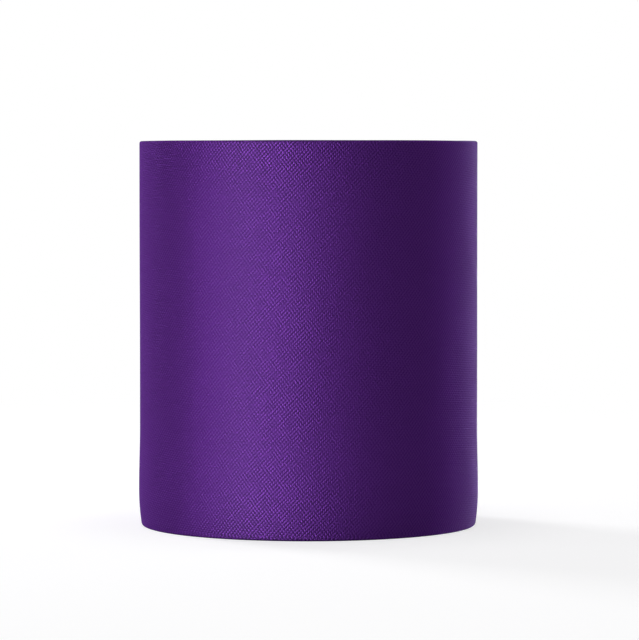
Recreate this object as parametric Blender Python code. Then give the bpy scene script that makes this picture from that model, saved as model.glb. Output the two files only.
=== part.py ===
"""An open-ended can cooler sleeve, modelled at the size it takes round a drinks can.

One strip of soft laminated foam is bent into a tube, and its two ends are butted and sewn
together down the back. The frame is +Z up, with the origin at the middle of the bottom edge
and the seam at +Y. All sizes are in metres.
"""

import math

import bmesh
import bpy
from mathutils import Vector

# The tube
BORE_DIAMETER = 0.0663
WALL_THICKNESS = 0.0040
SLEEVE_HEIGHT = 0.0845
EDGE_ROUNDING = 0.0005

# The lower edge, where the cloth swells a little and then draws in under the can's side
SWELL = 0.00024
SWELL_HEIGHT = 0.0075
SWELL_FADE = 0.0150
DRAW_IN = 0.0006

# The seam: a soft hollow that the stitches press into each face, and the butt joint in it
STITCH_WIDTH = 0.0042
STITCH_PITCH = 0.0034
THREAD_DIAMETER = 0.0005
THREAD_CLEARANCE = 0.0003
THREAD_END_MARGIN = 0.0020
THREAD_TURN_RADIUS = 0.00038
HOLLOW_DEPTH = 0.00055
HOLLOW_MARGIN = 0.00025
HOLLOW_SLOPE = 0.0007
JOINT_DEPTH = 0.00045
JOINT_WIDTH = 0.0008

# How finely the round forms are cut into faces
WALL_SIDES = 72
ROUNDING_STEPS = 3
LEAN_STEPS = 5
TURN_STEPS = 4
THREAD_SIDES = 6
SHARP_CORNER = math.radians(40)

SEAM_ANGLE = math.pi / 2
OUTSIDE = 1
INSIDE = -1

CLOTH_COLOUR = (0.120, 0.032, 0.262, 1.0)
THREAD_COLOUR = (0.085, 0.022, 0.190, 1.0)
CLOTH_ROUGHNESS = 0.72
THREAD_ROUGHNESS = 0.55


def middle_radius():
    """The radius halfway through the wall, on which the seam's widths are laid out."""
    return (BORE_DIAMETER + WALL_THICKNESS) / 2


def lean(height):
    """How far the wall stands out (+) or in (-) of a straight tube at a height."""
    if height >= SWELL_HEIGHT:
        share = min(1.0, (height - SWELL_HEIGHT) / SWELL_FADE)
        return SWELL * (1 + math.cos(math.pi * share)) / 2
    below = 1 - height / SWELL_HEIGHT
    return SWELL - DRAW_IN * below**2


def face_radius(height, face):
    """The radius of the outer or the inner face of the wall, away from the seam."""
    bore = BORE_DIAMETER / 2 + lean(height)
    return bore + WALL_THICKNESS if face == OUTSIDE else bore


def hollow_half_width():
    """Half the flat floor of the seam's hollow, which takes the stitches and a margin."""
    return (STITCH_WIDTH + THREAD_DIAMETER) / 2 + HOLLOW_MARGIN


def seam_depth(distance):
    """How deep the seam is pressed into a face, at a distance along the arc from its middle."""
    away = abs(distance)
    past_floor = min(1.0, max(0.0, (away - hollow_half_width()) / HOLLOW_SLOPE))
    hollow = HOLLOW_DEPTH * (1 + math.cos(math.pi * past_floor)) / 2
    joint = JOINT_DEPTH * max(0.0, 1 - away / (JOINT_WIDTH / 2))
    return hollow + joint


def wall_heights():
    """The heights of the rings on one face of the wall, from the bottom rounding to the top one."""
    drawn = [SWELL_HEIGHT * i / LEAN_STEPS for i in range(1, LEAN_STEPS)]
    fading = [SWELL_HEIGHT + SWELL_FADE * i / LEAN_STEPS for i in range(LEAN_STEPS + 1)]
    low, high = EDGE_ROUNDING, SLEEVE_HEIGHT - EDGE_ROUNDING
    between = [h for h in drawn + fading if low < h < high]
    return [low, *between, high]


def rounding(height, face, at_top):
    """The rounded corner between a face and a cut edge, as (radius, height) from face to edge."""
    direction = 1 if at_top else -1
    centre_radius = face_radius(height, face) - face * EDGE_ROUNDING
    points = []
    for step in range(1, ROUNDING_STEPS + 1):
        turn = math.pi / 2 * step / ROUNDING_STEPS
        radius = centre_radius + face * EDGE_ROUNDING * math.cos(turn)
        points.append((radius, height + direction * EDGE_ROUNDING * math.sin(turn)))
    return points


def face_profile(face):
    """One face with its two rounded corners, as (radius, height, face) from bottom to top."""
    heights = wall_heights()
    side = [(face_radius(h, face), h) for h in heights]
    bottom = rounding(heights[0], face, at_top=False)
    top = rounding(heights[-1], face, at_top=True)
    return [(radius, h, face) for radius, h in [*reversed(bottom), *side, *top]]


def wall_angles():
    """The angles of the wall's columns: close together across the seam and even round the rest."""
    floor = hollow_half_width()
    edge = floor + HOLLOW_SLOPE
    across = [0.0, JOINT_WIDTH / 2, floor / 2, floor, floor + HOLLOW_SLOPE / 2, edge]
    offsets = sorted({sign * d / middle_radius() for d in across for sign in (-1, 1)})
    rest = 2 * math.pi - 2 * offsets[-1]
    even = [offsets[-1] + rest * i / WALL_SIDES for i in range(1, WALL_SIDES)]
    return [SEAM_ANGLE + a for a in offsets + even]


def on_tube(radius, angle, height):
    return Vector((radius * math.cos(angle), radius * math.sin(angle), height))


def new_object(name, mesh_data, material):
    """Makes a smooth-shaded object of a bmesh, with its faces pointing out."""
    bmesh.ops.recalc_face_normals(mesh_data, faces=mesh_data.faces)
    mesh = bpy.data.meshes.new(name)
    mesh_data.to_mesh(mesh)
    mesh_data.free()
    mesh.materials.append(material)
    mesh.shade_smooth()
    mesh.set_sharp_from_angle(angle=SHARP_CORNER)
    made = bpy.data.objects.new(name, mesh)
    bpy.context.scene.collection.objects.link(made)
    return made


def new_material(name, colour, roughness):
    material = bpy.data.materials.new(name)
    material.use_nodes = True
    shader = material.node_tree.nodes["Principled BSDF"]
    shader.inputs["Base Color"].default_value = colour
    shader.inputs["Roughness"].default_value = roughness
    shader.inputs["Metallic"].default_value = 0.0
    material.diffuse_color = colour
    return material


def bridge(mesh_data, rings):
    """Joins each ring of vertices to the next with four-sided faces."""
    count = len(rings[0])
    for here, there in zip(rings, rings[1:]):
        for i in range(count):
            j = (i + 1) % count
            mesh_data.faces.new((here[i], here[j], there[j], there[i]))


def build_sleeve_wall(material):
    """The foam strip as a closed tube: up the outer face, over the top and down the inner one."""
    profile = face_profile(OUTSIDE) + face_profile(INSIDE)[::-1]
    seam_distances = [(a - SEAM_ANGLE + math.pi) % (2 * math.pi) - math.pi for a in wall_angles()]
    mesh_data = bmesh.new()
    rings = []
    for radius, height, face in profile:
        ring = []
        for distance in seam_distances:
            depth = seam_depth(distance * middle_radius())
            place = on_tube(radius - face * depth, SEAM_ANGLE + distance, height)
            ring.append(mesh_data.verts.new(place))
        rings.append(ring)
    bridge(mesh_data, rings + rings[:1])
    return new_object("sleeve_wall", mesh_data, material)


def zigzag(count):
    """The stitches laid flat, as (across, up) points with a round turn at each needle hole.

    Each leg is the straight line that touches two turns on opposite sides of the seam, and
    leg_slope is its angle above the horizontal.
    """
    rise = STITCH_PITCH / 2
    reach = (STITCH_WIDTH - THREAD_DIAMETER) / 2 - THREAD_TURN_RADIUS
    straight = math.hypot(2 * reach, rise)
    leg_slope = math.atan2(rise, 2 * reach) - math.asin(2 * THREAD_TURN_RADIUS / straight)
    points = []
    for turn in range(count):
        side = 1 if turn % 2 == 0 else -1
        for step in range(TURN_STEPS + 1):
            heading = leg_slope + (math.pi - 2 * leg_slope) * step / TURN_STEPS
            across = side * (reach + THREAD_TURN_RADIUS * math.sin(heading))
            up = rise * turn - THREAD_TURN_RADIUS * math.cos(heading)
            points.append((across, up))
    return points


def thread_path(face):
    """The middle line of the seam's thread on one face of the wall."""
    rise = STITCH_PITCH / 2
    count = int((SLEEVE_HEIGHT - 2 * THREAD_END_MARGIN) / rise) + 1
    start = (SLEEVE_HEIGHT - rise * (count - 1)) / 2
    above_floor = THREAD_CLEARANCE + THREAD_DIAMETER / 2
    path = []
    for across, up in zigzag(count):
        height = start + up
        radius = face_radius(height, face) - face * (HOLLOW_DEPTH - above_floor)
        path.append(on_tube(radius, SEAM_ANGLE + across / middle_radius(), height))
    return path


def build_seam_thread(name, face, material):
    """A round thread swept along the stitches, closed at both ends."""
    path = thread_path(face)
    mesh_data = bmesh.new()
    rings = []
    for i, place in enumerate(path):
        along = (path[min(i + 1, len(path) - 1)] - path[max(i - 1, 0)]).normalized()
        outward = Vector((place.x, place.y, 0)).normalized()
        sideways = along.cross(outward).normalized()
        outward = sideways.cross(along)
        ring = []
        for corner in range(THREAD_SIDES):
            turn = 2 * math.pi * corner / THREAD_SIDES
            offset = outward * math.cos(turn) + sideways * math.sin(turn)
            ring.append(mesh_data.verts.new(place + offset * THREAD_DIAMETER / 2))
        rings.append(ring)
    bridge(mesh_data, rings)
    mesh_data.faces.new(rings[0][::-1])
    mesh_data.faces.new(rings[-1])
    return new_object(name, mesh_data, material)


def main():
    for old in list(bpy.data.objects):
        bpy.data.objects.remove(old)
    cloth = new_material("woven_cloth", CLOTH_COLOUR, CLOTH_ROUGHNESS)
    thread = new_material("seam_thread", THREAD_COLOUR, THREAD_ROUGHNESS)
    wall = build_sleeve_wall(cloth)
    for name, face in (("seam_thread_outside", OUTSIDE), ("seam_thread_inside", INSIDE)):
        build_seam_thread(name, face, thread).parent = wall


main()
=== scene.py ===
import math

import bpy
import numpy as np
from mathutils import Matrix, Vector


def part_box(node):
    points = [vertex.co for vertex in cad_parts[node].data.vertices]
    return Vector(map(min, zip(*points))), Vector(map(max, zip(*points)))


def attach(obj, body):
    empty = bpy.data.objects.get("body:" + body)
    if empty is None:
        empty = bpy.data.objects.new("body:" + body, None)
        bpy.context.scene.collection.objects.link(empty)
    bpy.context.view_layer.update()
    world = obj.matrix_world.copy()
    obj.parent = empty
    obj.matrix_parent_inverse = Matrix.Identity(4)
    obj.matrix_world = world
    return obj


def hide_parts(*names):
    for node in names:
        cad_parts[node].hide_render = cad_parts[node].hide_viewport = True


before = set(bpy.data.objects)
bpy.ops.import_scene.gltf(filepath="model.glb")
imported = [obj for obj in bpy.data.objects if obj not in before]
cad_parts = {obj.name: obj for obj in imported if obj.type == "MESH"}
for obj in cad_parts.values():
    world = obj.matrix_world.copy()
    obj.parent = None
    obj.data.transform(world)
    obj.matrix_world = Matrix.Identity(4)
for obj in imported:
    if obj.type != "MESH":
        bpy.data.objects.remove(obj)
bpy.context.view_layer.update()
print("frame loaded:", ", ".join(sorted(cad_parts)))

# All lengths are metres and all angles radians, unless a name or a note says otherwise.
outside = 1
inside = -1
seamAngle = math.pi / 2  # the seam runs down the back, at +Y


# Node graphs

# Wraps a node's output socket, so that + - * on it add Math nodes.
class Signal:
    def __init__(self, graph, socket):
        self.graph = graph
        self.socket = socket

    # any other Math node, with this signal as its first value
    def math(self, operation, *others):
        return self.graph.math(operation, self, *others)

    def __add__(self, other):
        return self.graph.math("ADD", self, other)

    def __radd__(self, other):
        return self.graph.math("ADD", other, self)

    def __sub__(self, other):
        return self.graph.math("SUBTRACT", self, other)

    def __rsub__(self, other):
        return self.graph.math("SUBTRACT", other, self)

    def __mul__(self, other):
        return self.graph.math("MULTIPLY", self, other)

    def __rmul__(self, other):
        return self.graph.math("MULTIPLY", other, self)


# A material's or world's node tree, emptied, with one method that adds any node.
class Graph:
    def __init__(self, owner):
        owner.use_nodes = True
        self.tree = owner.node_tree
        self.tree.nodes.clear()

    # inputs holds values or signals by socket name or number
    def node(self, kind, settings=None, inputs=None, output=0):
        made = self.tree.nodes.new(kind)
        for name, value in (settings or {}).items():
            setattr(made, name, value)
        for name, value in (inputs or {}).items():
            if isinstance(value, Signal):
                self.tree.links.new(value.socket, made.inputs[name])
            else:
                made.inputs[name].default_value = value
        return Signal(self, made.outputs[output]) if made.outputs else made

    def math(self, operation, *values):
        return self.node("ShaderNodeMath", {"operation": operation}, dict(enumerate(values)))

    def vector(self, operation, *values, output=0):
        settings = {"operation": operation}
        return self.node("ShaderNodeVectorMath", settings, dict(enumerate(values)), output)

    # one component of a vector, "X", "Y" or "Z"
    def part(self, vector, axis):
        return self.node("ShaderNodeSeparateXYZ", None, {0: vector}, axis)

    def attribute(self, name):
        return self.node("ShaderNodeAttribute", {"attribute_name": name}, output="Fac")

    # 0 below low, 1 above high and an S-curve between
    def step(self, value, low, high):
        settings = {"interpolation_type": "SMOOTHSTEP"}
        inputs = {"Value": value, "From Min": low, "From Max": high}
        return self.node("ShaderNodeMapRange", settings, inputs)

    # colour a where share is 0 and colour b where it is 1; 6 and 7 are a Mix node's colour sockets
    def blend(self, share, a, b):
        settings = {"data_type": "RGBA"}
        return self.node("ShaderNodeMix", settings, {0: share, 6: a, 7: b}, output=2)

    # a colour made lighter or darker by a value
    def shade(self, colour, amount):
        grey = self.node("ShaderNodeCombineColor", None, {0: amount, 1: amount, 2: amount})
        settings = {"data_type": "RGBA", "blend_type": "MULTIPLY"}
        return self.node("ShaderNodeMix", settings, {0: 1.0, 6: colour, 7: grey}, output=2)

    def noise(self, place, size, detail=2.0, output=0):
        settings = {"noise_dimensions": "2D"}
        inputs = {"Vector": place, "Scale": 1 / size, "Detail": detail}
        return self.node("ShaderNodeTexNoise", settings, inputs, output)

    def finish(self, shader, kind="ShaderNodeOutputMaterial"):
        self.node(kind, None, {"Surface": shader})


def newGraph(name):
    material = bpy.data.materials.new(name)
    return material, Graph(material)


# Meshes

# A grid of points, rows by columns, as one smooth mesh. Its columns close on themselves. Its rows
# close too where ring is true, and otherwise one face caps each end. lengths is the same grid, with
# one more column (and row, where the rows close), as metres along the piece's two directions.
def gridMesh(name, points, lengths, ring):
    rows, columns = points.shape[:2]
    index = np.arange(rows * columns).reshape(rows, columns)
    here = index if ring else index[:-1]
    above = np.roll(index, -1, axis=0) if ring else index[1:]
    corners = [here, np.roll(here, -1, axis=1), np.roll(above, -1, axis=1), above]
    faces = np.stack(corners, axis=-1).reshape(-1, 4).tolist()
    spots = [lengths[:-1, :-1], lengths[:-1, 1:], lengths[1:, 1:], lengths[1:, :-1]]
    spots = np.stack(spots, axis=-2).reshape(-1, 2)
    if not ring:
        faces += [index[0, ::-1].tolist(), index[-1].tolist()]
        spots = np.concatenate([spots, lengths[0, -2::-1], lengths[-1, :-1]])
    mesh = bpy.data.meshes.new(name)
    mesh.from_pydata(points.reshape(-1, 3).tolist(), [], faces)
    layer = mesh.uv_layers.new(name="lengths")
    layer.uv.foreach_set("vector", spots.astype(np.float32).ravel())
    mesh.shade_smooth()
    made = bpy.data.objects.new(name, mesh)
    bpy.context.scene.collection.objects.link(made)
    return made


def addAttribute(piece, name, values):
    attribute = piece.data.attributes.new(name, "FLOAT", "POINT")
    attribute.data.foreach_set("value", values.astype(np.float32).ravel())


# The sleeve's wall

sleeve = {
    "bore": 0.0663,
    "wall": 0.0040,
    "height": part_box("sleeve_wall")[1].z,
    "swell": 0.00024,  # how far the lower part stands out
    "swellHeight": 0.0075,  # it is full up to here
    "swellFade": 0.0150,  # and fades out over this much above
    "drawIn": 0.0006,  # how far the lower edge comes back in
    "corner": 0.0005,  # rounding of the cut edges
    "foamSink": 0.00012,  # the cut foam lies this far below the cloth's edges
    "foamStep": 0.00018,  # width of the step down to it
    "waver": 0.00004,  # soft unevenness of the faces
    "waves": ((2, 31, 0.4), (3, -47, 1.9), (5, 74, 3.1), (7, -105, 5.2)),  # times round, climb, start
    "edgeWaver": 0.00005,  # how far the top edge dips
    "edgeWaves": ((3, 1.1), (5, 0.0)),  # times round, start
    "edgeWaverReach": 0.0060,  # how far down the dip is felt
}
seam = {
    "width": 0.0042,  # across the zigzag, thread included
    "pitch": 0.0034,  # between the needle holes of one side
    "endMargin": 0.0020,  # least distance of the stitches from the cut edges
    "turnRadius": 0.00038,  # of the thread at a needle hole
    "thread": 0.0005,  # its thickness
    "floorMargin": 0.00025,  # flat floor of the pressed-in strip beyond the thread
    "slope": 0.0007,  # width of the strip's sides
    "hollow": 0.00036,  # and its depth
    "jointDepth": 0.00045,  # the V where the two ends of the cloth meet
    "jointWidth": 0.0008,
    "holeDepth": 0.00030,
    "holeRadius": 0.00042,
    "pucker": 0.00007,  # pillows of cloth beside the stitches
    "puckerAway": 0.0040,
    "puckerReach": 0.0011,
}
# How finely the wall's mesh is divided.
wallGrid = {
    "faceRows": 206,
    "cornerRows": 7,
    "stepRows": 5,
    "foamRows": 9,
    "seamHalf": 0.0045,  # half the width of the finely divided strip along the seam
    "seamColumns": 52,
    "columns": 144,
}
rise = seam["pitch"] / 2
turnCount = int((sleeve["height"] - 2 * seam["endMargin"]) / rise) + 1
firstTurn = (sleeve["height"] - rise * (turnCount - 1)) / 2
middleRadius = (sleeve["bore"] + sleeve["wall"]) / 2


# How far the wall stands out of a straight tube at a height: a cosine that grows to the swell, less
# a parabola that draws the last stretch in to the lower edge.
def leanAt(height):
    share = np.clip((height - sleeve["swellHeight"]) / sleeve["swellFade"], 0, 1)
    below = np.clip(1 - height / sleeve["swellHeight"], 0, 1)
    return sleeve["swell"] * (1 + np.cos(np.pi * share)) / 2 - sleeve["drawIn"] * below**2


# Height above the nearest needle hole on one side of the seam. The holes of a side are one pitch
# apart, and the left side's start one rise later.
def fromHole(distance, height):
    first = firstTurn + np.where(distance < 0, rise, 0)
    return np.mod(height - first + rise, seam["pitch"]) - rise


# Depth of the seam in a face, at a distance round from its middle and a height: a flat-floored
# hollow with cosine slopes, plus a V for the butt joint, plus a bell-shaped dimple at each needle
# hole, less a soft pillow of cloth between the holes.
def seamDepth(distance, height):
    away = np.abs(distance)
    floorHalf = seam["width"] / 2 + seam["thread"] / 2 + seam["floorMargin"]
    past = np.clip((away - floorHalf) / seam["slope"], 0, 1)
    depth = seam["hollow"] * (1 + np.cos(np.pi * past)) / 2
    depth += seam["jointDepth"] * np.clip(1 - 2 * away / seam["jointWidth"], 0, 1)
    offset = fromHole(distance, height)
    holeAway = (seam["width"] - seam["thread"]) / 2
    apart = (away - holeAway) ** 2 + offset**2
    depth += seam["holeDepth"] * np.exp(-apart / seam["holeRadius"] ** 2)
    pillow = np.exp(-(((away - seam["puckerAway"]) / seam["puckerReach"]) ** 2))
    return depth - seam["pucker"] * pillow * (1 - np.cos(2 * np.pi * offset / seam["pitch"])) / 2


# Soft unevenness of the wall: four low waves round it that lean as they climb.
def waverAt(angle, height):
    total = 0
    for count, climb, start in sleeve["waves"]:
        total = total + np.sin(count * angle + climb * height + start) / math.sqrt(count)
    return sleeve["waver"] * total


# How far the top edge dips, round the sleeve: half of 1 plus the product of two sine waves.
def edgeDipAt(angle):
    first, second = [np.sin(count * angle + start) for count, start in sleeve["edgeWaves"]]
    return sleeve["edgeWaver"] * (1 + first * second) / 2


# One cut edge, as distance in from the first face and drop below the edge: a quarter circle, a
# short step down to the sunk foam, the foam, and the same back up to the other face.
def cutEdge():
    corner, wall = sleeve["corner"], sleeve["wall"]
    turn = np.linspace(0, np.pi / 2, wallGrid["cornerRows"])
    share = np.linspace(0, 1, wallGrid["stepRows"])[1:]
    away = np.concatenate([corner * (1 - np.cos(turn)), corner + sleeve["foamStep"] * share])
    sunk = sleeve["foamSink"] * (1 - np.cos(np.pi * share)) / 2
    drop = np.concatenate([corner * (1 - np.sin(turn)), sunk])
    foam = np.concatenate([0 * turn, share])
    between = np.linspace(away[-1], wall - away[-1], wallGrid["foamRows"])[1:-1]
    flat = np.ones_like(between)
    away = np.concatenate([away, between, wall - away[::-1]])
    drop = np.concatenate([drop, flat * sleeve["foamSink"], drop[::-1]])
    return away, drop, np.concatenate([foam, flat, foam[::-1]])


# The wall's section as a closed loop: up the outer face, over the top edge, down the inner face and
# back along the bottom edge. across is 1 at the outer face and -1 at the inner one.
def wallLoop():
    away, drop, foam = cutEdge()
    across = 1 - 2 * away / sleeve["wall"]
    low, high = sleeve["corner"], sleeve["height"] - sleeve["corner"]
    climb = np.linspace(low, high, wallGrid["faceRows"])[1:-1]
    plain = np.ones_like(climb)
    across = np.concatenate([plain, across, -plain, -across])
    height = np.concatenate([climb, sleeve["height"] - drop, climb[::-1], drop])
    return across, height, np.concatenate([0 * plain, foam, 0 * plain, foam])


# Distances round the middle of the wall from the seam: close together across the seam and even
# round the rest, from 0 back to 0.
def wallColumns():
    whole = 2 * np.pi * middleRadius
    half = wallGrid["seamColumns"] // 2
    near = wallGrid["seamHalf"] * np.linspace(0, 1, half + 1)
    rest = np.linspace(near[-1], whole - near[-1], wallGrid["columns"])[1:-1]
    return np.concatenate([near, rest, whole - near[::-1]])


# The wall: radius = middle + lean + waver + across times (half the wall less the seam's depth), and
# height = the loop's height less the top edge's dip, which fades out below the edge.
def buildWall():
    across, height, foam = wallLoop()
    around = wallColumns()
    distance = around[:-1].copy()
    distance[distance > around[-1] / 2] -= around[-1]
    angle = seamAngle + distance / middleRadius
    acrossGrid, distanceGrid = np.meshgrid(across, distance, indexing="ij")
    heightGrid, angleGrid = np.meshgrid(height, angle, indexing="ij")
    depth = seamDepth(distanceGrid, heightGrid)
    lean = leanAt(heightGrid) + waverAt(angleGrid, heightGrid)
    radius = middleRadius + lean + acrossGrid * (sleeve["wall"] / 2 - depth)
    nearTop = np.clip(1 - (sleeve["height"] - heightGrid) / sleeve["edgeWaverReach"], 0, 1)
    up = heightGrid - edgeDipAt(angleGrid) * nearTop**2
    points = np.stack([radius * np.cos(angleGrid), radius * np.sin(angleGrid), up], axis=-1)

    ringRadius = middleRadius + across * sleeve["wall"] / 2
    profile = np.stack([ringRadius, height], axis=-1)
    pieces = np.linalg.norm(np.roll(profile, -1, axis=0) - profile, axis=1)
    along = np.concatenate([[0], np.cumsum(pieces)])
    closedRadius = np.append(ringRadius, ringRadius[0])
    spread = closedRadius[:, None] * around[None, :] / middleRadius
    lengths = np.stack([spread, np.repeat(along[:, None], len(around), axis=1)], axis=-1)

    wall = gridMesh("sleeveWall", points, lengths, ring=True)
    addAttribute(wall, "foam", np.repeat(foam[:, None], len(distance), axis=1))
    # how far the seam presses in, which the cloth's painted shade follows
    addAttribute(wall, "pressed", np.clip(depth / seam["hollow"], 0, 2))
    return wall


sleeveWall = buildWall()
print("wall:", len(sleeveWall.data.polygons), "faces")


# The sewing thread

stitch = {
    "spacing": 0.00010,  # between the thread's sections
    "sides": 15,
    "turnSteps": 12,
    "plies": 3,
    "plyPitch": 0.0013,  # one whole twist
    "plyGroove": 0.16,  # depth of the groove between plies, as a share of the radius
    "rest": 0.00012,  # depth of its middle line in the face, between the needle holes
    "dive": 0.00030,  # and how much deeper at a needle hole
    "diveReach": 0.0007,  # how far from a hole the dive begins
    "endDive": 0.00045,  # more depth at the two ends of the thread
}


# The stitches laid flat, as distance across the seam and height: straight legs that touch a round
# turn at each needle hole, side by side in turn. legSlope is a leg's angle above the level.
def zigzag():
    radius = seam["turnRadius"]
    reach = (seam["width"] - seam["thread"]) / 2 - radius
    straight = math.hypot(2 * reach, rise)
    legSlope = math.atan2(rise, 2 * reach) - math.asin(2 * radius / straight)
    turns = np.arange(turnCount)[:, None]
    heading = np.linspace(legSlope, np.pi - legSlope, stitch["turnSteps"])[None, :]
    across = np.where(turns % 2 == 0, 1, -1) * (reach + radius * np.sin(heading))
    up = firstTurn + rise * turns - radius * np.cos(heading)
    corners = np.stack([across.ravel(), up.ravel()], axis=-1)
    steps = np.linalg.norm(np.diff(corners, axis=0), axis=1)
    walked = np.concatenate([[0], np.cumsum(steps)])
    along = np.linspace(0, walked[-1], int(walked[-1] / stitch["spacing"]))
    return along, np.interp(along, walked, corners[:, 0]), np.interp(along, walked, corners[:, 1])


# A twisted thread along the zigzag. Its middle line dives by an S-curve near each needle hole. Its
# section is a circle with one groove between each two plies, radius x (1 - groove x (1 - |cos(plies x
# turn / 2)|)), and the section turns as it goes along.
def buildThread(name, face):
    along, across, up = zigzag()
    holeAway = (seam["width"] - seam["thread"]) / 2
    near = np.clip(1 - (holeAway - np.abs(across)) / stitch["diveReach"], 0, 1)
    fromEnd = np.minimum(along, along[-1] - along)
    ending = np.clip(1 - fromEnd / stitch["diveReach"], 0, 1)
    dive = stitch["dive"] * near**2 * (3 - 2 * near)
    deep = stitch["rest"] + dive + stitch["endDive"] * ending**2
    middle = middleRadius + leanAt(up) + face * (sleeve["wall"] / 2 - deep)
    angle = seamAngle + across / middleRadius
    middle = middle + waverAt(angle, up)
    path = np.stack([middle * np.cos(angle), middle * np.sin(angle), up], axis=-1)

    tangent = np.gradient(path, axis=0)
    tangent /= np.linalg.norm(tangent, axis=1, keepdims=True)
    outward = np.stack([np.cos(angle), np.sin(angle), 0 * angle], axis=-1)
    sideways = np.cross(tangent, outward)
    sideways /= np.linalg.norm(sideways, axis=1, keepdims=True)
    outward = np.cross(sideways, tangent)

    closedTurn = np.linspace(0, 2 * np.pi, stitch["sides"] + 1)[None, :]
    turn = closedTurn[:, :-1]
    twist = 2 * np.pi * along[:, None] / stitch["plyPitch"]
    groove = 1 - np.abs(np.cos(stitch["plies"] * (turn - twist) / 2))
    radius = seam["thread"] / 2 * (1 - stitch["plyGroove"] * groove)
    reach = outward[:, None] * np.cos(turn[..., None]) + sideways[:, None] * np.sin(turn[..., None])
    points = path[:, None] + radius[..., None] * reach

    girth = seam["thread"] / 2 * closedTurn
    lengths = np.stack(np.broadcast_arrays(along[:, None], girth), axis=-1)
    thread = gridMesh(name, points, lengths, ring=False)
    addAttribute(thread, "groove", groove)
    return thread


threadOutside = buildThread("seamThreadOutside", outside)
threadInside = buildThread("seamThreadInside", inside)
print("threads:", 2 * len(threadOutside.data.polygons), "faces")


# Materials

cloth = {
    "colour": (0.133, 0.0320, 0.284, 1),  # the threads that shine
    "dullColour": (0.105, 0.0195, 0.238, 1),  # the others
    "gapShadeColour": (0.060, 0.010, 0.150, 1),  # painted shade, low between them
    "warpPitch": 0.000405,
    "weftPitch": 0.000485,
    "turn": math.radians(4),  # the cloth was cut a little off the thread
    "drift": 0.00016,  # how far the threads wander, and over what length
    "driftSize": 0.0040,
    "patchSize": 0.0017,  # patches in which the weave is clear or faint
    "patchEdges": (0.3, 0.7),  # noise values at which a patch begins and is whole
    "clear": (0.2, 1.3),  # how clear it is, at least and at most
    "slant": (0.32, 0.78),  # share of its diagonals that rise to the right, in patches too
    "slantShift": (3, 5, 0),  # sets those patches apart from the first
    "dotEdge": 0.35,  # how softly a shining dot ends
    "uneven": 0.6,  # how much the crossings differ from each other
    "crown": 0.55,  # share of the height that is each thread's own roundness
    "weaveHeight": 0.00008,
    "gapShade": 0.05,  # share of the painted shade colour between the threads
    "gapHeights": (-0.2, 0.6),  # heights of the weave where that begins and ends
    "metallic": (0.05, 0.20),  # on dull and on shining threads; it gives their gloss the cloth's colour
    "edgeTint": (0.75, 0.60, 1.0, 1),  # the gloss at grazing angles
    "roughness": 0.42,  # on the threads that shine
    "dullRoughness": 0.62,  # on the others and between the threads
    "coat": 0.035,  # a weak white bloom over it
    "coatRoughness": 0.50,
    "rim": 0.00030,  # painted shade: a darker line along the cut edges, where they round over
    "rimShade": 0.35,
    "pressedShade": 0.15,  # painted shade: how much darker the seam's pressed strip is
}
foam = {
    "colour": (0.070, 0.022, 0.140, 1),
    "cell": 0.00035,  # size of a foam cell
    "cellHeight": 0.00006,
    "cellShade": (0.7, 0.6),  # painted shade in a cell's hollow middle, and what is added towards its edge
    "cut": (0.35, 0.65),  # values of the foam attribute where cloth ends and foam begins
    "roughness": 0.9,
}


# Height of a plain weave, -1 to 1. Warp threads lie along v and weft threads along u. Each is a
# round crown |sin| plus a wave that lifts it over one crossing and under the next, and the higher
# thread shows.
def plainWeave(u, v):
    sinU = (u * math.pi).math("SINE")
    sinV = (v * math.pi).math("SINE")
    signU = sinU.math("SIGN")
    signV = sinV.math("SIGN")
    crown = cloth["crown"]
    warp = signU * sinU * crown + signU * sinV * (1 - crown)
    weft = signV * sinV * crown - signV * sinU * (1 - crown)
    return warp.math("MAXIMUM", weft)


# A value between two limits, in irregular patches: the least plus a stepped noise times the rest.
def patches(graph, spot, limits):
    least, most = limits
    noise = graph.noise(spot, cloth["patchSize"], detail=1.0)
    return least + graph.step(noise, *cloth["patchEdges"]) * (most - least)


# The place in the weave, in threads: metres along the cloth, pushed about by a slow noise so that
# the threads wander, then turned and divided by the thread spacing.
def weavePlace(graph, spot):
    wander = graph.noise(spot, cloth["driftSize"], output="Color")
    centred = graph.vector("SUBTRACT", wander, (0.5, 0.5, 0.5))
    moved = graph.vector("MULTIPLY_ADD", centred, (cloth["drift"],) * 3, spot)
    rotation = (0, 0, cloth["turn"])
    turned = graph.node("ShaderNodeMapping", None, {"Vector": moved, "Rotation": rotation})
    return graph.vector("DIVIDE", turned, (cloth["warpPitch"], cloth["weftPitch"], 1))


# How much a spot shines, 0 to 1: a cosine along each of the weave's diagonals, one weighed against
# the other in patches, cut to soft dots by a step.
def weaveShine(graph, spot, u, v, strength):
    slant = patches(graph, graph.vector("ADD", spot, cloth["slantShift"]), cloth["slant"])
    rising = ((u - v) * math.pi).math("COSINE")
    falling = ((u + v) * math.pi).math("COSINE")
    pattern = slant * rising - (1 - slant) * falling
    return graph.step(pattern * strength, -cloth["dotEdge"], cloth["dotEdge"])


# Dull and shining threads, with painted shade low between them.
def weaveColour(graph, shine, height, strength):
    threads = graph.blend(shine, cloth["dullColour"], cloth["colour"])
    # painted shade where the weave is low between the threads
    gapShade = (1 - graph.step(height, *cloth["gapHeights"])) * strength * cloth["gapShade"]
    return graph.blend(gapShade, threads, cloth["gapShadeColour"])


# Painted shade: the cloth is darker along the sleeve's two cut edges, where they round over, and in the
# seam's pressed hollow.
def clothShade(graph, place):
    up = graph.part(place, "Z")
    edge = up.math("MINIMUM", sleeve["height"] - up)
    rim = 1 - graph.step(edge, 0.0, cloth["rim"])
    return (1 - rim * cloth["rimShade"]) * (1 - graph.attribute("pressed") * cloth["pressedShade"])
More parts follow.
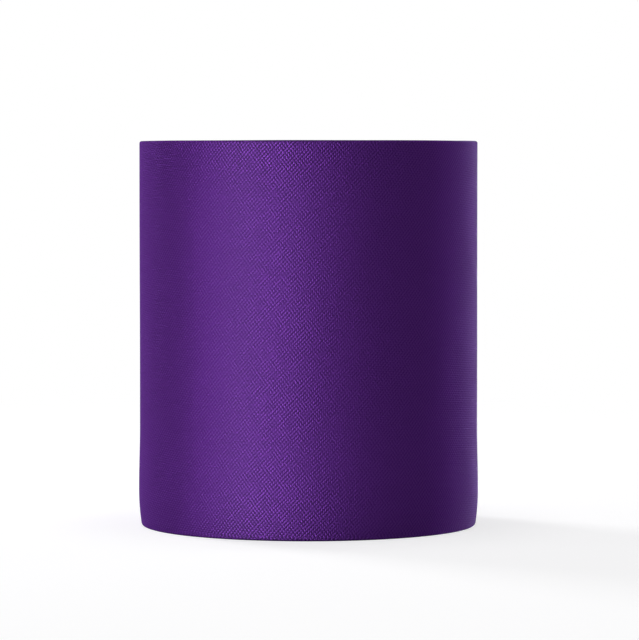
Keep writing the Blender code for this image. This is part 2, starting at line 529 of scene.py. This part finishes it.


# Cloth on both faces and along the cloth's own cut edges, and between them foam whose cells are Voronoi
# cells, with painted shade in each cell's hollow middle. The crossings of the weave differ from each
# other by a chance value.
def wovenMaterial():
    material, graph = newGraph("wovenCloth")
    spot = graph.node("ShaderNodeUVMap", {"uv_map": "lengths"})
    threads = weavePlace(graph, spot)
    u, v = graph.part(threads, "X"), graph.part(threads, "Y")
    height = plainWeave(u, v)
    crossing = {"Vector": graph.vector("FLOOR", threads)}
    chance = graph.node("ShaderNodeTexWhiteNoise", {"noise_dimensions": "2D"}, crossing)
    vary = 1 + (chance - 0.5) * cloth["uneven"]
    strength = patches(graph, spot, cloth["clear"])
    shine = weaveShine(graph, spot, u, v, strength * vary)

    place = graph.node("ShaderNodeTexCoord", output="Object")
    cells = graph.node("ShaderNodeTexVoronoi", None, {"Vector": place, "Scale": 1 / foam["cell"]})
    isFoam = graph.step(graph.attribute("foam"), *foam["cut"])
    isCloth = 1 - isFoam
    clothColour = graph.shade(weaveColour(graph, shine, height, strength), clothShade(graph, place))
    middle, towardsEdge = foam["cellShade"]
    foamColour = graph.shade(foam["colour"], middle + cells * towardsEdge)

    weaveBump = height * vary * cloth["weaveHeight"] * isCloth
    foamBump = cells * foam["cellHeight"] * isFoam
    clothRough = cloth["dullRoughness"] - shine * (cloth["dullRoughness"] - cloth["roughness"])
    dull, shining = cloth["metallic"]
    inputs = {
        "Base Color": graph.blend(isFoam, clothColour, foamColour),
        "Roughness": clothRough * isCloth + isFoam * foam["roughness"],
        "Normal": graph.node("ShaderNodeBump", None, {"Distance": 1.0, "Height": weaveBump + foamBump}),
        "Metallic": (dull + shine * (shining - dull)) * isCloth,
        "Specular IOR Level": 0.0,
        "Specular Tint": cloth["edgeTint"],
        "Coat Weight": isCloth * cloth["coat"],
        "Coat Roughness": cloth["coatRoughness"],
    }
    graph.finish(graph.node("ShaderNodeBsdfPrincipled", None, inputs))
    return material


threadLook = {
    "colour": (0.130, 0.036, 0.285, 1),
    "fibrePitch": 0.00009,
    "fibreLean": 0.6,  # how fast the fibres wind as they run along
    "fibreHeight": 0.000006,
    "fibreShade": 0.08,
    "uneven": (0.8, 0.4),  # darkest shade, and what a noise adds to it
    "unevenSize": 0.0006,
    "grooveShade": 0.5,  # painted shade: how much darker the grooves between the plies are
    "roughness": 0.42,
    "grooveRoughness": 0.2,  # and how much rougher
    "metallic": 0.2,
    "coat": 0.04,
}


# Twisted filament thread. Its fibres are a sine wave that winds round each ply, on a shade made uneven
# by a noise, with painted shade in the grooves.
def threadMaterial():
    material, graph = newGraph("seamThread")
    spot = graph.node("ShaderNodeUVMap", {"uv_map": "lengths"})
    wound = graph.part(spot, "X") * threadLook["fibreLean"] + graph.part(spot, "Y")
    fibre = (wound * (2 * math.pi / threadLook["fibrePitch"])).math("SINE")
    groove = graph.attribute("groove")
    darkest, added = threadLook["uneven"]
    uneven = darkest + graph.noise(spot, threadLook["unevenSize"]) * added
    shade = (1 - groove * threadLook["grooveShade"]) * (uneven + fibre * threadLook["fibreShade"])
    height = fibre * threadLook["fibreHeight"]
    inputs = {
        "Base Color": graph.shade(threadLook["colour"], shade),
        "Roughness": threadLook["roughness"] + groove * threadLook["grooveRoughness"],
        "Normal": graph.node("ShaderNodeBump", None, {"Distance": 1.0, "Height": height}),
        "Metallic": threadLook["metallic"],
        "Specular IOR Level": 0.0,
        "Coat Weight": threadLook["coat"],
        "Coat Roughness": cloth["coatRoughness"],
    }
    graph.finish(graph.node("ShaderNodeBsdfPrincipled", None, inputs))
    return material


sleeveWall.data.materials.append(wovenMaterial())
threadFinish = threadMaterial()
threadOutside.data.materials.append(threadFinish)
threadInside.data.materials.append(threadFinish)
print("materials made")


# Light, floor and camera

studio = {
    "panel": {"diffuse": (0.24, 0.60), "gloss": (0.24, 1.00)},  # width and height
    "panelAway": 0.816,
    "panelUp": {"diffuse": 0.310, "gloss": 0.0},  # glossy ones reach below the floor: an even highlight
    "ambient": 0.045,  # the world's light on the sleeve
    "overhead": {"size": (0.6, 0.6), "up": 1.2, "diffuse": 5.0},  # lights the top edge and the inside
    "floorColour": (0.45, 0.45, 0.46, 1),
    "floorGlow": 0.70,  # brings the lit floor up to white where the camera sees it
    "floorSize": 6.0,
    "nearFloor": (0.10, 0.40),  # the shadow shows inside the first radius and is gone at the second
}
# Azimuth is in degrees from the camera's side towards +X. diffuse and gloss are the panel's own
# brightness, as matt and as shiny surfaces see it.
softboxes = {
    "key": {"azimuth": -135, "diffuse": 14.1},
    "leftSide": {"azimuth": -90, "diffuse": 1.1},
    "highlightLeft": {"azimuth": -45, "gloss": 31},
    "highlightRight": {"azimuth": -15, "gloss": 12.3},
    "rightSide": {"azimuth": 120, "diffuse": 0.9},
    "rightBack": {"azimuth": 135, "gloss": 4.9},
    "rightRim": {"azimuth": 150, "gloss": 2.9},
    "rightEdge": {"azimuth": 165, "gloss": 6.4},
}


# A soft panel that lights either matt surfaces or shiny ones. Power is brightness x pi x area. A
# mirrored ray would stop at the floor, so the glossy ones are reached by shadow rays alone.
def addPanel(name, kind, brightness, size, place, turn):
    lamp = bpy.data.lights.new(name, "AREA")
    lamp.shape = "RECTANGLE"
    lamp.size, lamp.size_y = size
    lamp.energy = brightness * math.pi * size[0] * size[1]
    lamp.cycles.use_multiple_importance_sampling = kind == "diffuse"
    made = bpy.data.objects.new(name, lamp)
    made.location = place
    made.rotation_euler = turn
    made.visible_camera = False
    made.visible_diffuse = kind == "diffuse"
    made.visible_glossy = kind == "gloss"
    bpy.context.scene.collection.objects.link(made)


# A tall softbox that stands round the sleeve and faces it.
def addSoftbox(name, settings):
    azimuth = math.radians(settings["azimuth"])
    away = studio["panelAway"]
    for kind in ("diffuse", "gloss"):
        if kind in settings:
            place = (away * math.sin(azimuth), -away * math.cos(azimuth), studio["panelUp"][kind])
            addPanel(name, kind, settings[kind], studio["panel"][kind], place, (math.pi / 2, 0, azimuth))


def buildLights():
    for name, settings in softboxes.items():
        addSoftbox(name, settings)
    overhead = studio["overhead"]
    above = (0, 0, overhead["up"])
    addPanel("overhead", "diffuse", overhead["diffuse"], overhead["size"], above, (0, 0, 0))


# 1 for the rays that should see a white background: the camera's own, mirrors' and glass's
def seenDirectly(graph):
    rays = ("Is Camera Ray", "Is Glossy Ray", "Is Transmission Ray")
    cameraRay, glossyRay, clearRay = [graph.node("ShaderNodeLightPath", output=ray) for ray in rays]
    return cameraRay.math("MAXIMUM", glossyRay).math("MAXIMUM", clearRay)


def buildWorld():
    world = bpy.data.worlds.new("studio")
    bpy.context.scene.world = world
    graph = Graph(world)
    seen = seenDirectly(graph)
    strength = studio["ambient"] + seen * (1 - studio["ambient"])
    back = graph.node("ShaderNodeBackground", None, {"Color": (1, 1, 1, 1), "Strength": strength})
    graph.finish(back, "ShaderNodeOutputWorld")


# A pale floor that catches the shadow. It glows for the camera by what its colour lacks to white,
# and away from the sleeve it is plain white.
def buildFloor():
    half = studio["floorSize"] / 2
    corners = [(-half, -half, 0), (half, -half, 0), (half, half, 0), (-half, half, 0)]
    mesh = bpy.data.meshes.new("floor")
    mesh.from_pydata(corners, [], [(0, 1, 2, 3)])
    floor = bpy.data.objects.new("floor", mesh)
    bpy.context.scene.collection.objects.link(floor)
    material, graph = newGraph("paleFloor")
    place = graph.node("ShaderNodeTexCoord", output="Object")
    far = graph.step(graph.vector("LENGTH", place, output="Value"), *studio["nearFloor"])
    seen = seenDirectly(graph)
    lit = graph.node("ShaderNodeBsdfDiffuse", None, {"Color": studio["floorColour"]})
    glow = graph.node("ShaderNodeEmission", None, {"Strength": seen * studio["floorGlow"]})
    near = graph.node("ShaderNodeAddShader", None, {0: lit, 1: glow})
    white = graph.node("ShaderNodeEmission", None, {"Strength": 1.0})
    graph.finish(graph.node("ShaderNodeMixShader", None, {0: far * seen, 1: near, 2: white}))
    mesh.materials.append(material)
    floor.visible_shadow = False  # the panels reach below it


camera = {
    "place": (0.0, -0.770, 0.0799),
    "lens": 196.6,  # in millimetres, as is the sensor's width
    "pitchDegrees": 2.59,  # down
    "yawDegrees": 0.18,  # to the right
    "sensor": 36.0,
}


def addCamera():
    lens = bpy.data.cameras.new("camera")
    lens.lens = camera["lens"]
    lens.sensor_width = camera["sensor"]
    made = bpy.data.objects.new("camera", lens)
    made.location = camera["place"]
    pitch = math.radians(90 - camera["pitchDegrees"])
    made.rotation_euler = (pitch, 0, -math.radians(camera["yawDegrees"]))
    bpy.context.scene.collection.objects.link(made)
    bpy.context.scene.camera = made


buildLights()
buildWorld()
buildFloor()
addCamera()
bpy.context.scene.view_settings.view_transform = "Standard"
print("studio ready")

stands = {
    sleeveWall: ("sleeve_wall", "woven_cloth"),
    threadOutside: ("seam_thread_outside", "seam_thread"),
    threadInside: ("seam_thread_inside", "seam_thread"),
}
for piece, (node, slotName) in stands.items():
    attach(piece, "root")
    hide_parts(node)
